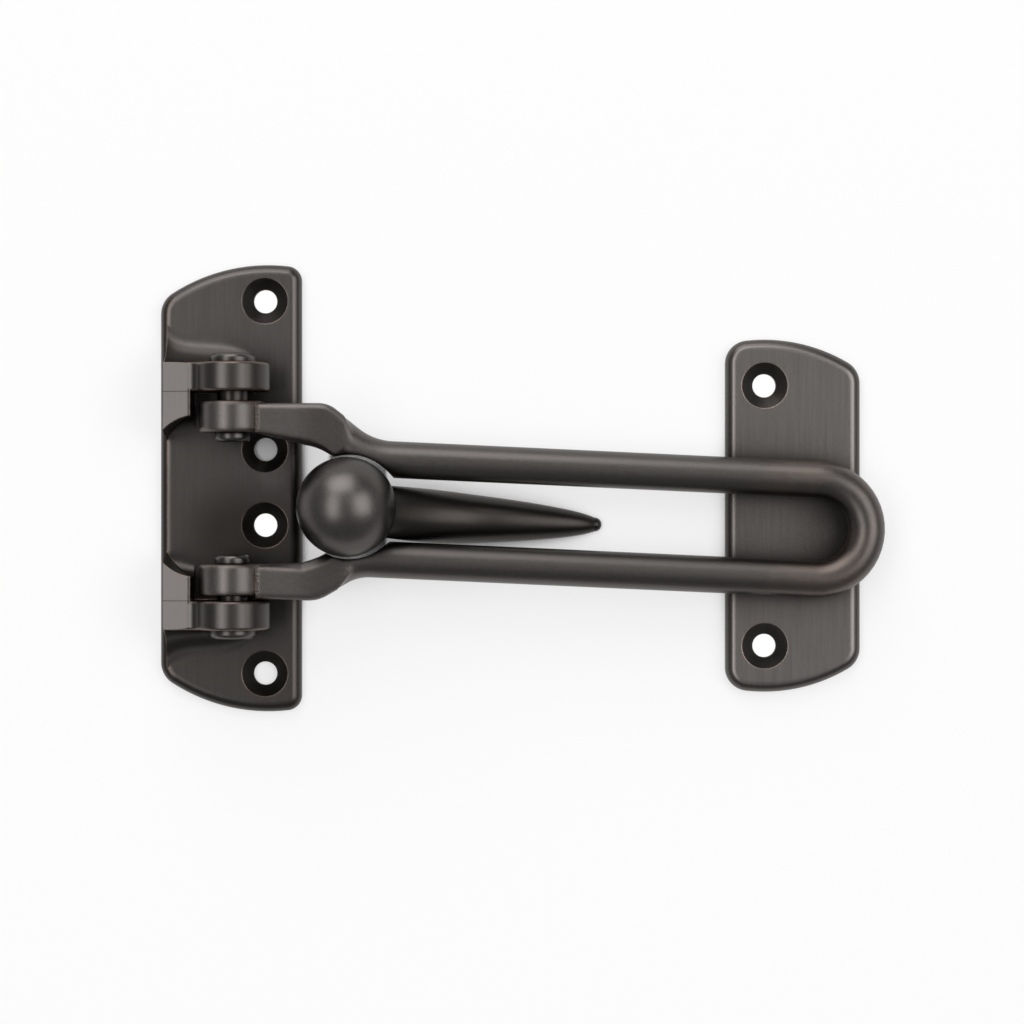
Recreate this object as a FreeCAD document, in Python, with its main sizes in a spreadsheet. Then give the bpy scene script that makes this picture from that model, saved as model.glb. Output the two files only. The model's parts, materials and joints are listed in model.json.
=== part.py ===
import FreeCAD, Part
import math
import os

import Sketcher

# Swing bar door guard, in millimetres and degrees
# The guard lies on its back as it would on a door: X runs from the hinge to the closed end of the loop,
# Y runs along the hinge pins and Z points away from the door. The origin is the centre of the hinge
# bracket's row of screws, on the bracket's back face.

os.makedirs("parts", exist_ok=True)
doc = FreeCAD.newDocument("DoorGuard")

SIZES = {
    # Screws shared by both plates
    "screw_hole_radius": 2.15,
    "countersink_radius": 4.25,
    "countersink_angle": 90.0,
    # Hinge bracket plate
    "bracket_thickness": 3.0,
    "bracket_half_length": 41.32,
    "bracket_drop": 0.16,
    "bracket_left": 19.35,
    "bracket_right": 6.73,
    "bracket_end_radius": 32.8,
    "bracket_bow_shift": 0.55,
    "bracket_left_corner": 4.6,
    "bracket_right_corner": 2.8,
    "plate_edge_round": 2.0,
    "outer_screw_reach": 34.4,
    "inner_screw_reach": 7.0,
    # Hinge axis and the two lugs that carry the pins
    "hinge_back": 5.4,
    "hinge_height": 9.7,
    "hinge_shift": 2.07,
    "lug_radius": 6.85,
    "lug_thickness": 5.35,
    "upper_lug_reach": 22.15,
    "lower_lug_reach": 21.33,
    "lug_back": 18.1,
    "lug_foot_front": 1.9,
    "lug_round": 0.6,
    "lug_throat_round": 2.5,
    # Stop pads beside the knuckles: they lean to the left and flare into the plate's rim
    "stop_height": 12.0,
    "stop_front": 12.93,
    "stop_length": 4.4,
    "stop_lean_start": 13.4,
    "stop_lean": 10.0,
    "stop_flare_top": 2.6,
    "stop_flare_foot": 5.0,
    "stop_flare_round": 9.3,
    # Flanks that blend lugs and pads into the plate: how far out and how high they reach
    "flank_back_foot": 7.35,
    "flank_back_rise": 7.35,
    "flank_middle_x": 8.0,
    "flank_middle_foot": 4.85,
    "flank_middle_rise": 3.1,
    "flank_end_x": 4.0,
    "flank_end_foot": 3.4,
    "flank_end_rise": 2.1,
    "flank_front_x": 1.9,
    "flank_front_foot": 1.2,
    "flank_front_rise": 0.75,
    "stop_flank_back": 4.2,
    "stop_flank_front": 2.4,
    "flank_tail": 1.0,
    # Hinge pins
    "pin_radius": 2.8,
    "pin_lug_fit": 0.02,
    "pin_knuckle_clearance": 0.06,
    "pin_head_clearance": 0.15,
    "pin_outer_head_radius": 4.28,
    "pin_outer_head_height": 1.65,
    "pin_outer_head_round": 1.0,
    "pin_inner_head_radius": 3.3,
    "pin_inner_head_height": 1.6,
    "pin_inner_head_round": 0.9,
    # Swing bar, measured in its own frame from the hinge axis
    "knuckle_radius": 6.1,
    "knuckle_length": 5.7,
    "knuckle_reach": 14.88,
    "knuckle_round": 0.6,
    "strap_top": 5.1,
    "strap_shoulder": 3.9,
    "strap_bottom": 1.6,
    "strap_root": 4.3,
    "strap_edge_round": 1.1,
    "bar_radius": 3.37,
    "bar_level": 1.75,
    "bar_inset": 0.12,
    "loop_half_width": 9.14,
    "loop_length": 107.0,
    "loop_shift": 0.745,
    "loop_skew": 2.63,
    "loop_rest_gap": 0.15,
    "keyhole_clearance": 0.4,
    "keyhole_top_lead": 0.13,
    "keyhole_low_lead": 1.03,
    "keyhole_overcut": 1.0,
    # Upper arm, from strap to leg
    "upper_root_outer": 17.3,
    "upper_root_inner": 12.15,
    "upper_root_low_inner": 12.05,
    "upper_strap_outer": 17.3,
    "upper_kink_reach": 17.5,
    "upper_kink_angle": 38.3,
    "upper_kink_round": 5.0,
    "upper_bend_radius": 14.0,
    "upper_overlap": 2.0,
    "upper_facet_side": 3.6,
    "upper_waist_x": 13.2,
    "upper_waist_y": 10.8,
    "upper_waist_low_y": 9.75,
    "upper_brow_x": 18.7,
    "upper_brow_y": 8.0,
    "upper_brow_round": 11.0,
    "upper_tip_x": 21.6,
    "upper_tip_y": 10.9,
    "upper_throat_x": 19.8,
    "upper_throat_y": 6.2,
    "upper_throat_round": 11.0,
    "upper_tip_low_x": 23.6,
    "upper_tip_low_y": 10.2,
    # Lower arm, from strap to leg
    "lower_root_outer": 18.2,
    "lower_root_inner": 12.5,
    "lower_root_low_inner": 12.1,
    "lower_strap_outer": 18.65,
    "lower_kink_reach": 15.6,
    "lower_kink_angle": 29.8,
    "lower_kink_round": 6.5,
    "lower_bend_radius": 11.0,
    "lower_overlap": 1.9,
    "lower_facet_side": 4.0,
    "lower_waist_x": 12.6,
    "lower_waist_y": 13.15,
    "lower_waist_low_y": 11.75,
    "lower_brow_x": 18.7,
    "lower_brow_y": 10.4,
    "lower_brow_round": 11.0,
    "lower_tip_x": 21.6,
    "lower_tip_y": 13.1,
    "lower_throat_x": 20.6,
    "lower_throat_y": 8.2,
    "lower_throat_round": 30.0,
    "lower_tip_low_x": 23.4,
    "lower_tip_low_y": 12.4,
    # Keeper: a ball on a curved horn that lies on the door
    "ball_radius": 9.06,
    "ball_height": 15.5,
    "ball_reach": 21.02,
    "ball_shift": 3.64,
    "horn_root_x": 20.0,
    "horn_tip_x": 62.2,
    "horn_shift": 4.07,
    "horn_girth": 1.154,
    "horn_power": 0.43,
    "horn_root_radius": 4.9,
    "horn_foot_cut": 0.8,
    "horn_lift_x": 40.0,
    "horn_lift": 11.25,
    "horn_sway": 0.85,
    "horn_tip_radius": 1.28,
    "horn_tip_length": 1.286,
    "horn_tip_round": 1.24,
    "horn_hole_radius": 1.65,
    "horn_hole_depth": 4.0,
    "horn_hole_x": 41.0,
    "horn_hole_spacing": 9.0,
    # Door plate
    "door_plate_thickness": 3.0,
    "door_plate_half_length": 32.6,
    "door_screw_back": 9.3,
    "door_screw_shift": 5.24,
    "door_plate_left": 7.2,
    "door_plate_right": 17.7,
    "door_plate_end_radius": 30.5,
    "door_plate_left_corner": 4.3,
    "door_plate_right_corner": 4.5,
    "door_screw_reach": 24.05,
}

sheet = doc.addObject("Spreadsheet::Sheet", "Sizes")
for row, (alias, value) in enumerate(SIZES.items(), start=1):
    sheet.set(f"A{row}", alias)
    sheet.set(f"B{row}", str(value))
    sheet.setAlias(f"B{row}", alias)
doc.recompute()

ORIGIN = -1
START, END, CENTRE = range(1, 4)
Z = FreeCAD.Vector(0, 0, 1)
TOUCH = 1e-4
HORN_SHARES = (0, 0.14, 0.28, 0.42, 0.56, 0.7, 0.82, 0.91)
AXIS_X = "-Sizes.hinge_back"


def number(rule):
    """The value of a rule that is written in the sheet's aliases."""
    found = sheet.evalExpression(rule)
    return float(getattr(found, "Value", found))


def new_body(name):
    body = doc.addObject("PartDesign::Body", name)
    body.Label = name
    return body


def origin_plane(body, role):
    return next(plane for plane in body.Origin.OriginFeatures if plane.Role == role)


def new_sketch(body, role, name, offset="0"):
    """A sketch on one of the body's own planes, moved along that plane's normal by a rule."""
    drawn = body.newObject("Sketcher::SketchObject", name)
    drawn.AttachmentSupport = [(origin_plane(body, role), "")]
    drawn.MapMode = "FlatFace"
    drawn.setExpression(".AttachmentOffset.Base.z", offset)
    return drawn


def hold(drawn, kind, name, rule, *where):
    """A driving dimension of a sketch, tied to a rule."""
    index = drawn.addConstraint(Sketcher.Constraint(kind, *where, number(rule)))
    drawn.renameConstraint(index, name)
    drawn.setExpression(f"Constraints.{name}", rule)


def hold_angle(drawn, name, rule, line):
    """A driving angle of a line, in degrees from the sketch's own X axis."""
    index = drawn.addConstraint(Sketcher.Constraint("Angle", line, math.radians(number(rule))))
    drawn.renameConstraint(index, name)
    drawn.setExpression(f"Constraints.{name}", f"({rule}) * 1 deg")


def place(drawn, geometry, point, name, x_rule, y_rule):
    """Ties a point of a sketch to two rules."""
    hold(drawn, "DistanceX", f"{name}_x", x_rule, ORIGIN, START, geometry, point)
    hold(drawn, "DistanceY", f"{name}_y", y_rule, ORIGIN, START, geometry, point)


def polygon(drawn, corners):
    """A closed outline of straight edges whose corners are tied to rules."""
    points = [FreeCAD.Vector(number(x), number(y), 0) for x, y in corners]
    count = len(points)
    for index in range(count):
        drawn.addGeometry(Part.LineSegment(points[index], points[(index + 1) % count]))
    for index in range(count):
        drawn.addConstraint(Sketcher.Constraint("Coincident", index, END, (index + 1) % count, START))
    for index, (x, y) in enumerate(corners):
        place(drawn, index, START, f"corner_{index}", x, y)


def rounded_outline(drawn, corners, arcs):
    """A closed outline whose edges are straight, or arcs where a radius and a turn are given.

    The turn is 1 where the arc runs anticlockwise from its corner to the next and -1 where clockwise."""
    points = [FreeCAD.Vector(number(x), number(y), 0) for x, y in corners]
    count = len(points)
    ends = {}
    for index in range(count):
        near, far = points[index], points[(index + 1) % count]
        if index not in arcs:
            drawn.addGeometry(Part.LineSegment(near, far))
            ends[index] = START, END
            continue
        rule, turn = arcs[index]
        drawn.addGeometry(arc_between(near, far, number(rule), turn))
        ends[index] = (START, END) if turn > 0 else (END, START)
    for index in range(count):
        after = (index + 1) % count
        drawn.addConstraint(Sketcher.Constraint("Coincident", index, ends[index][1], after, ends[after][0]))
    for index, (x, y) in enumerate(corners):
        place(drawn, index, ends[index][0], f"corner_{index}", x, y)
    for index, (rule, turn) in arcs.items():
        hold(drawn, "Radius", f"arc_{index}", rule, index)


def arc_between(near, far, radius, turn):
    """The shorter arc of a circle from one point to another, on the side that its turn gives."""
    half = (far - near) * 0.5
    across = FreeCAD.Vector(-half.y, half.x, 0).normalize()
    centre = near + half + across * (turn * math.sqrt(max(radius**2 - half.Length**2, 0)))
    first, last = (near, far) if turn > 0 else (far, near)
    bearings = (math.atan2(point.y - centre.y, point.x - centre.x) for point in (first, last))
    return Part.ArcOfCircle(Part.Circle(centre, Z, radius), *bearings)


def circle(drawn, name, x_rule, y_rule, radius_rule):
    centre = FreeCAD.Vector(number(x_rule), number(y_rule), 0)
    index = drawn.addGeometry(Part.Circle(centre, Z, number(radius_rule)))
    place(drawn, index, CENTRE, name, x_rule, y_rule)
    hold(drawn, "Radius", f"{name}_radius", radius_rule, index)


def pad(body, drawn, name, length, symmetric=False):
    feature = body.newObject("PartDesign::Pad", name)
    feature.Profile = drawn
    feature.setExpression("Length", length)
    feature.SideType = "Symmetric" if symmetric else "One side"
    return feature


def pocket_through(body, drawn, name):
    feature = body.newObject("PartDesign::Pocket", name)
    feature.Profile = drawn
    feature.Type = "ThroughAll"
    feature.SideType = "Symmetric"
    return feature


def loft(body, name, first, *others):
    feature = body.newObject("PartDesign::AdditiveLoft", name)
    feature.Profile = first
    feature.Sections = list(others)
    return feature


def round_edges(body, name, radius, wanted):
    """A fillet on the edges of the body's last feature that a test picks."""
    doc.recompute()
    base = body.Tip
    names = [f"Edge{i}" for i, edge in enumerate(base.Shape.Edges, start=1) if wanted(edge)]
    feature = body.newObject("PartDesign::Fillet", name)
    feature.Base = (base, names)
    feature.setExpression("Radius", radius)
    doc.recompute()
    return feature


def level(edge, height):
    return all(abs(vertex.Z - height) < TOUCH for vertex in edge.Vertexes)


def flat_distance(point, other):
    return math.hypot(point.x - other.x, point.y - other.y)


def upright(edge):
    first, last = edge.Vertexes[0].Point, edge.Vertexes[-1].Point
    return flat_distance(first, last) < TOUCH and abs(first.z - last.z) > TOUCH


def screw_plate(body, side, screw_x, bow_x, middle_y):
    """A plate with straight sides, bowed ends, rounded corners and a rounded rim."""
    outline = new_sketch(body, "XY_Plane", f"{body.Name}_outline")
    left = f"{screw_x} - {side['left']}"
    right = f"{screw_x} + {side['right']}"
    cx, cy = number(bow_x), number(middle_y)
    radius = number(side["end_radius"])
    rise = number(side["half_length"]) - radius
    lx, rx = number(left), number(right)
    ly = math.sqrt(radius**2 - (lx - cx) ** 2) + rise
    ry = math.sqrt(radius**2 - (rx - cx) ** 2) + rise
    top = math.atan2(ry - rise, rx - cx), math.atan2(ly - rise, lx - cx)
    outline.addGeometry(Part.LineSegment(FreeCAD.Vector(rx, cy - ry, 0), FreeCAD.Vector(rx, cy + ry, 0)))
    outline.addGeometry(Part.ArcOfCircle(Part.Circle(FreeCAD.Vector(cx, cy + rise, 0), Z, radius), *top))
    outline.addGeometry(Part.LineSegment(FreeCAD.Vector(lx, cy + ly, 0), FreeCAD.Vector(lx, cy - ly, 0)))
    outline.addGeometry(
        Part.ArcOfCircle(Part.Circle(FreeCAD.Vector(cx, cy - rise, 0), Z, radius), -top[1], -top[0]))
    for first, second in ((0, 1), (1, 2), (2, 3), (3, 0)):
        outline.addConstraint(Sketcher.Constraint("Coincident", first, END, second, START))
    outline.addConstraint(Sketcher.Constraint("Vertical", 0))
    outline.addConstraint(Sketcher.Constraint("Vertical", 2))
    hold(outline, "DistanceX", "right_side", right, ORIGIN, START, 0, START)
    hold(outline, "DistanceX", "left_side", left, ORIGIN, START, 2, START)
    rise_rule = f"({side['half_length']} - {side['end_radius']})"
    place(outline, 1, CENTRE, "upper_centre", bow_x, f"{middle_y} + {rise_rule}")
    place(outline, 3, CENTRE, "lower_centre", bow_x, f"{middle_y} - {rise_rule}")
    hold(outline, "Radius", "upper_radius", side["end_radius"], 1)
    hold(outline, "Radius", "lower_radius", side["end_radius"], 3)
    pad(body, outline, f"{body.Name}_plate", side["thickness"])
    round_edges(body, f"{body.Name}_left_corners", side["left_corner"],
                lambda edge: upright(edge) and edge.Vertexes[0].X < cx)
    round_edges(body, f"{body.Name}_right_corners", side["right_corner"],
                lambda edge: upright(edge) and edge.Vertexes[0].X > cx)
    thickness = number(side["thickness"])
    round_edges(body, f"{body.Name}_rim", "Sizes.plate_edge_round", lambda edge: level(edge, thickness))


def screw_holes(body, side, x_rule, y_rule, reaches):
    """Countersunk holes, drilled from the front face of a plate."""
    drill = new_sketch(body, "XY_Plane", f"{body.Name}_screws", side["thickness"])
    for index, reach in enumerate(reaches):
        for sign, word in ((1, "upper"), (-1, "lower")):
            circle(drill, f"{word}_{index}", x_rule, f"{y_rule} + {sign} * {reach}", "Sizes.screw_hole_radius")
    doc.recompute()
    holes = body.newObject("PartDesign::Hole", f"{body.Name}_screw_holes")
    holes.Profile = drill
    doc.recompute()
    holes.ThreadType = "None"
    holes.DepthType = "ThroughAll"
    holes.setExpression("Diameter", "2 * Sizes.screw_hole_radius")
    holes.HoleCutType = "Countersink"
    holes.HoleCutCustomValues = True
    holes.setExpression("HoleCutDiameter", "2 * Sizes.countersink_radius")
    holes.setExpression("HoleCutCountersinkAngle", "Sizes.countersink_angle")
    doc.recompute()


def plate_rules(prefix):
    """The rules of one plate, from the sizes that carry its prefix."""
    keys = ("left", "right", "half_length", "end_radius", "thickness", "left_corner", "right_corner")
    return {key: f"Sizes.{prefix}_{key}" for key in keys}


# Door plate
door_plate = new_body("door_plate")
door_rules = plate_rules("door_plate")
DOOR_X = "(Sizes.loop_length - Sizes.hinge_back - Sizes.door_screw_back)"
DOOR_Y = "-Sizes.door_screw_shift"
screw_plate(door_plate, door_rules, DOOR_X, DOOR_X, DOOR_Y)
screw_holes(door_plate, door_rules, DOOR_X, DOOR_Y, ["Sizes.door_screw_reach"])

# Hinge bracket: a cast plate with two lugs, each backed by a stop pad and blended flanks
hinge_bracket = new_body("hinge_bracket")
bracket_rules = plate_rules("bracket")
screw_plate(hinge_bracket, bracket_rules, "0", "Sizes.bracket_bow_shift", "-Sizes.bracket_drop")

# The fillet between a barrel and its web: it touches the web's top and the barrel from outside
THROAT_RISE = "(Sizes.stop_height + Sizes.lug_throat_round - Sizes.hinge_height)"
THROAT_RUN = f"sqrt((Sizes.lug_radius + Sizes.lug_throat_round) ^ 2 - {THROAT_RISE} ^ 2)"
THROAT_SHARE = "Sizes.lug_radius / (Sizes.lug_radius + Sizes.lug_throat_round)"
LUG_CENTRES = {
    "upper": (1, "(Sizes.upper_lug_reach)"),
    "lower": (-1, "(Sizes.lower_lug_reach)"),
}


def lug_middle(sign, reach):
    return f"(-Sizes.hinge_shift + {sign} * {reach})"


def lug_face(sign, reach, side):
    """Where a lug's outer face (side 1) or inner face (side -1) lies along Y."""
    return f"({lug_middle(sign, reach)} + {side * sign} * Sizes.lug_thickness / 2)"


def lug(body, word, sign, reach):
    """One lug: a barrel about the hinge axis on a web that runs back to the plate's left side."""
    centre = lug_middle(sign, reach)
    barrel = new_sketch(body, "XZ_Plane", f"{word}_barrel_profile", f"-{centre}")
    circle(barrel, "barrel", AXIS_X, "Sizes.hinge_height", "Sizes.lug_radius")
    pad(body, barrel, f"{word}_barrel", "Sizes.lug_thickness", symmetric=True)
    web = new_sketch(body, "XZ_Plane", f"{word}_web_profile", f"-{centre}")
    rounded_outline(web, [("-Sizes.lug_back", "0"), ("-Sizes.lug_foot_front", "0"),
                          ("-Sizes.lug_foot_front", "Sizes.hinge_height"), (AXIS_X, "Sizes.stop_height"),
                          (f"{AXIS_X} - {THROAT_SHARE} * {THROAT_RUN}",
                           f"Sizes.hinge_height + {THROAT_SHARE} * {THROAT_RISE}"),
                          (f"{AXIS_X} - {THROAT_RUN}", "Sizes.stop_height"),
                          ("-Sizes.lug_back", "Sizes.stop_height")], {4: ("Sizes.lug_throat_round", -1)})
    pad(body, web, f"{word}_web", "Sizes.lug_thickness", symmetric=True)


def stop_level(body, word, sign, inner, name, height):
    """A stop pad's plan at one height: its end curves round into the plate's rim."""
    drawn = new_sketch(body, "XY_Plane", f"{word}_stop_{name}", height)
    end = f"{inner} - {sign} * Sizes.stop_length"
    root = f"{inner} + {sign} * Sizes.flank_tail"
    rounded_outline(drawn, [("-Sizes.lug_back", root), ("-Sizes.stop_front", root), ("-Sizes.stop_front", end),
                            ("-Sizes.lug_back", f"{end} - {sign} * Sizes.stop_flare_{name}")],
                    {2: ("Sizes.stop_flare_round", sign)})
    return drawn


def flank(body, name, wall, side, stations):
    """A concave blend beside a wall: at each station, a foot on the plate and a rise up the wall."""
    floor, tail = "Sizes.bracket_thickness", "Sizes.flank_tail"
    sections = []
    for index, (x, foot, rise) in enumerate(stations):
        drawn = new_sketch(body, "YZ_Plane", f"{name}_{index}", x)
        inside, toe = f"({wall} - {side} * {tail})", f"({wall} + {side} * {foot})"
        rounded_outline(drawn, [(inside, f"{floor} + {rise}"), (wall, f"{floor} + {rise}"), (toe, floor),
                                (toe, f"{floor} - {tail}"), (inside, f"{floor} - {tail}")],
                        {1: (f"({foot} ^ 2 + {rise} ^ 2) / (2 * {rise})", side)})
        sections.append(drawn)
    loft(body, name, sections[0], *sections[1:])


def stop_and_flanks(body, word, sign, reach):
    """The stop pad inside a lug, and the concave flanks that blend both into the plate."""
    inner = lug_face(sign, reach, -1)
    loft(body, f"{word}_stop", stop_level(body, word, sign, inner, "foot", "0"),
         stop_level(body, word, sign, inner, "top", "Sizes.stop_height"))
    stations = [("-Sizes.lug_back", "Sizes.flank_back_foot", "Sizes.flank_back_rise")]
    stations += [(f"-Sizes.flank_{part}_x", f"Sizes.flank_{part}_foot", f"Sizes.flank_{part}_rise")
                 for part in ("middle", "end", "front")]
    flank(body, f"{word}_outer_flank", lug_face(sign, reach, 1), sign, stations)
    stop_end = f"({inner} - {sign} * Sizes.stop_length)"
    back, front = "Sizes.stop_flank_back", "Sizes.stop_flank_front"
    flank(body, f"{word}_stop_flank", stop_end, -sign,
          [("-Sizes.lug_back", back, back), ("-Sizes.stop_front", front, front)])


def round_arc(edge, radius):
    """Whether an edge is part of a circle of this radius about a line along Y."""
    curve = edge.Curve
    return hasattr(curve, "Radius") and abs(curve.Radius - radius) < TOUCH and abs(curve.Axis.y) > 1 - TOUCH


for word, (sign, reach) in LUG_CENTRES.items():
    lug(hinge_bracket, word, sign, reach)
lug_radius = number("Sizes.lug_radius")
round_edges(hinge_bracket, "lug_rounds", "Sizes.lug_round", lambda edge: round_arc(edge, lug_radius))
for word, (sign, reach) in LUG_CENTRES.items():
    stop_and_flanks(hinge_bracket, word, sign, reach)
doc.recompute()


def pin_bore(body, name, radius, x_rule, z_rule):
    """A hole along Y through everything that the hinge pins cross."""
    drawn = new_sketch(body, "XZ_Plane", f"{name}_profile")
    circle(drawn, "bore", x_rule, z_rule, radius)
    pocket_through(body, drawn, name)
    doc.recompute()


pin_bore(hinge_bracket, "pin_bores", "Sizes.pin_radius + Sizes.pin_lug_fit", AXIS_X, "Sizes.hinge_height")
lean = new_sketch(hinge_bracket, "XZ_Plane", "stop_lean_profile")
LEAN_LEFT = "-(Sizes.lug_back + Sizes.flank_tail)"
LEAN_DROP = "(Sizes.lug_back + Sizes.flank_tail - Sizes.stop_lean_start) * tan(Sizes.stop_lean * 1 deg)"
polygon(lean, [("-Sizes.stop_lean_start", "Sizes.stop_height"),
               ("-Sizes.stop_lean_start", "Sizes.stop_height + Sizes.flank_tail"),
               (LEAN_LEFT, "Sizes.stop_height + Sizes.flank_tail"),
               (LEAN_LEFT, f"Sizes.stop_height - {LEAN_DROP}")])
pocket_through(hinge_bracket, lean, "stop_lean")
doc.recompute()
screw_holes(hinge_bracket, bracket_rules, "0", "0", ["Sizes.outer_screw_reach", "Sizes.inner_screw_reach"])

# Hinge pins: rivets with a wide domed head outside the lug and a small one inside the knuckle


def hinge_pin(word, sign, reach):
    """One headed pin, turned about its own axis; its outer head points along its own Y."""
    body = new_body(f"{word}_hinge_pin")
    outer = f"({reach} + Sizes.lug_thickness / 2)"
    inner = "(Sizes.knuckle_reach - Sizes.knuckle_length / 2 - Sizes.pin_head_clearance)"
    length = f"({outer} - {inner})"
    profile = new_sketch(body, "XY_Plane", f"{word}_pin_profile")
    half_turn(profile, length)
    turn = body.newObject("PartDesign::Revolution", f"{word}_pin_turned")
    turn.Profile = profile
    turn.ReferenceAxis = (profile, ["V_Axis"])
    turn.Angle = 360
    body.setExpression("Placement.Base.x", AXIS_X)
    body.setExpression("Placement.Base.y", f"{sign} * {outer} - Sizes.hinge_shift")
    body.setExpression("Placement.Base.z", "Sizes.hinge_height")
    if sign < 0:
        body.Placement.Rotation = FreeCAD.Rotation(Z, 180)
    return body


def half_turn(drawn, length):
    """Half the section of a pin: shaft between two disc heads, with its outer shoulder at the origin."""
    outer, tall, outer_round = (f"Sizes.pin_outer_head_{part}" for part in ("radius", "height", "round"))
    inner, short, inner_round = (f"Sizes.pin_inner_head_{part}" for part in ("radius", "height", "round"))
    shaft = "Sizes.pin_radius"
    corners = [("0", f"-{length} - {short}"), ("0", tall), (f"{outer} - {outer_round}", tall),
               (outer, f"{tall} - {outer_round}"), (outer, "0"), (shaft, "0"), (shaft, f"-{length}"),
               (inner, f"-{length}"), (inner, f"-{length} - {short} + {inner_round}"),
               (f"{inner} - {inner_round}", f"-{length} - {short}")]
    rounded_outline(drawn, corners, {2: (outer_round, -1), 8: (inner_round, -1)})


pins = [hinge_pin(word, sign, reach) for word, (sign, reach) in LUG_CENTRES.items()]
doc.recompute()

# Swing bar: knuckles, straps and a round loop, cast in one piece and drawn flat in its own frame
swing_bar = new_body("swing_bar")


def arm_side(word):
    """Where a strap's outer side ends and its pointed face begins."""
    own = f"Sizes.{word}"
    return (f"({own}_kink_reach + {own}_facet_side * cos({own}_kink_angle * 1 deg))",
            f"({own}_strap_outer - {own}_facet_side * sin({own}_kink_angle * 1 deg))")


def arm_level(word, name, sign, height, corners, bend):
    """One level of an arm: straight sides, and an arc along the throat beside the keyhole."""
    drawn = new_sketch(swing_bar, "XY_Plane", f"{word}_arm_{name}", height)
    own = f"Sizes.{word}"
    outline = [("Sizes.strap_root", f"{own}_root_outer"), (f"{own}_kink_reach", f"{own}_strap_outer"),
               arm_side(word), *corners]
    throat = len(outline) - 3
    rounded_outline(drawn, [(x, f"{sign} * {y}") for x, y in outline], {throat: (bend, sign)})
    return drawn


def arm(word, sign):
    """A strap from the knuckle to the leg: its flat face is a tongue that dies into the round leg."""
    own = f"Sizes.{word}"
    wide = [(f"{own}_tip_low_x", f"{own}_tip_low_y"), (f"{own}_throat_x", f"{own}_throat_y"),
            (f"{own}_waist_x", f"{own}_waist_low_y"), ("Sizes.strap_root", f"{own}_root_low_inner")]
    face = [(f"{own}_tip_x", f"{own}_tip_y"), (f"{own}_brow_x", f"{own}_brow_y"),
            (f"{own}_waist_x", f"{own}_waist_y"), ("Sizes.strap_root", f"{own}_root_inner")]
    levels = [arm_level(word, "underside", sign, "-Sizes.strap_bottom", wide, f"{own}_throat_round"),
              arm_level(word, "shoulder", sign, "Sizes.strap_shoulder", wide, f"{own}_throat_round"),
              arm_level(word, "face", sign, "Sizes.strap_top", face, f"{own}_brow_round")]
    loft(swing_bar, f"{word}_arm", *levels)
    swing_bar.Tip.Ruled = True


def loop_path(drawn):
    """The bar's centre line: kink, bend and leg, closed end, leg, bend and kink, tangent all the way."""
    skew = math.radians(number("Sizes.loop_skew"))
    along = FreeCAD.Vector(math.cos(skew), -math.sin(skew), 0)
    across = FreeCAD.Vector(math.sin(skew), math.cos(skew), 0)
    half = number("Sizes.loop_half_width")
    end_centre = FreeCAD.Vector(number("Sizes.loop_length"), number(LOOP_END_Y), 0)
    route = {}
    for word, sign in (("upper", 1), ("lower", -1)):
        angle = math.radians(number(f"Sizes.{word}_kink_angle"))
        slope = FreeCAD.Vector(math.cos(angle), -sign * math.sin(angle), 0)
        start = FreeCAD.Vector(*(number(rule) for rule in kink_start(word, sign)), 0)
        leg_end = end_centre + across * (sign * half)
        span = leg_end - start
        reach = (span.x * along.y - span.y * along.x) / (slope.x * along.y - slope.y * along.x)
        corner = start + slope * reach
        setback = number(f"Sizes.{word}_bend_radius") * math.tan(slope.getAngle(along) / 2)
        near, far = corner - slope * setback, corner + along * setback
        middle = arc_middle(near, corner, far, number(f"Sizes.{word}_bend_radius"))
        route[word] = start, near, middle, far, leg_end
    start, near, middle, far, leg_end = route["upper"]
    drawn.addGeometry(Part.LineSegment(start, near))
    drawn.addGeometry(Part.Arc(near, middle, far))
    drawn.addGeometry(Part.LineSegment(far, leg_end))
    drawn.addGeometry(Part.Arc(leg_end, end_centre + along * half, end_centre * 2 - leg_end))
    start, near, middle, far, leg_end = route["lower"]
    drawn.addGeometry(Part.LineSegment(leg_end, far))
    drawn.addGeometry(Part.Arc(far, middle, near))
    drawn.addGeometry(Part.LineSegment(near, start))
    for first, at, second, to in ((0, END, 1, START), (1, END, 2, START), (2, END, 3, END),
                                  (3, START, 4, START), (4, END, 5, START), (5, END, 6, START)):
        drawn.addConstraint(Sketcher.Constraint("Tangent", first, at, second, to))
    place(drawn, 0, START, "upper_start", *kink_start("upper", 1))
    place(drawn, 6, END, "lower_start", *kink_start("lower", -1))
    place(drawn, 3, CENTRE, "end_centre", "Sizes.loop_length", LOOP_END_Y)
    hold(drawn, "Radius", "end_radius", "Sizes.loop_half_width", 3)
    hold(drawn, "Radius", "upper_bend", "Sizes.upper_bend_radius", 1)
    hold(drawn, "Radius", "lower_bend", "Sizes.lower_bend_radius", 5)
    hold_angle(drawn, "upper_kink", "-Sizes.upper_kink_angle", 0)
    hold_angle(drawn, "upper_leg", "-Sizes.loop_skew", 2)
    hold_angle(drawn, "lower_kink", "Sizes.lower_kink_angle - 180", 6)


def arc_middle(near, corner, far, radius):
    """The middle of the arc that rounds a corner between two points the same way off."""
    inward = (near - corner).normalize() + (far - corner).normalize()
    inward.normalize()
    return corner + inward * (math.hypot(radius, (near - corner).Length) - radius)


def kink_start(word, sign):
    """Where the round bar starts inside a strap, on the centre line of the kink."""
    own = f"Sizes.{word}"
    angle = f"({own}_kink_angle * 1 deg)"
    inset = "(Sizes.bar_radius + Sizes.bar_inset)"
    x = f"({own}_kink_reach + {own}_overlap * cos{angle} - {inset} * sin{angle})"
    y = f"({own}_strap_outer - {own}_overlap * sin{angle} - {inset} * cos{angle})"
    return x, f"{sign} * {y}"


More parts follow.
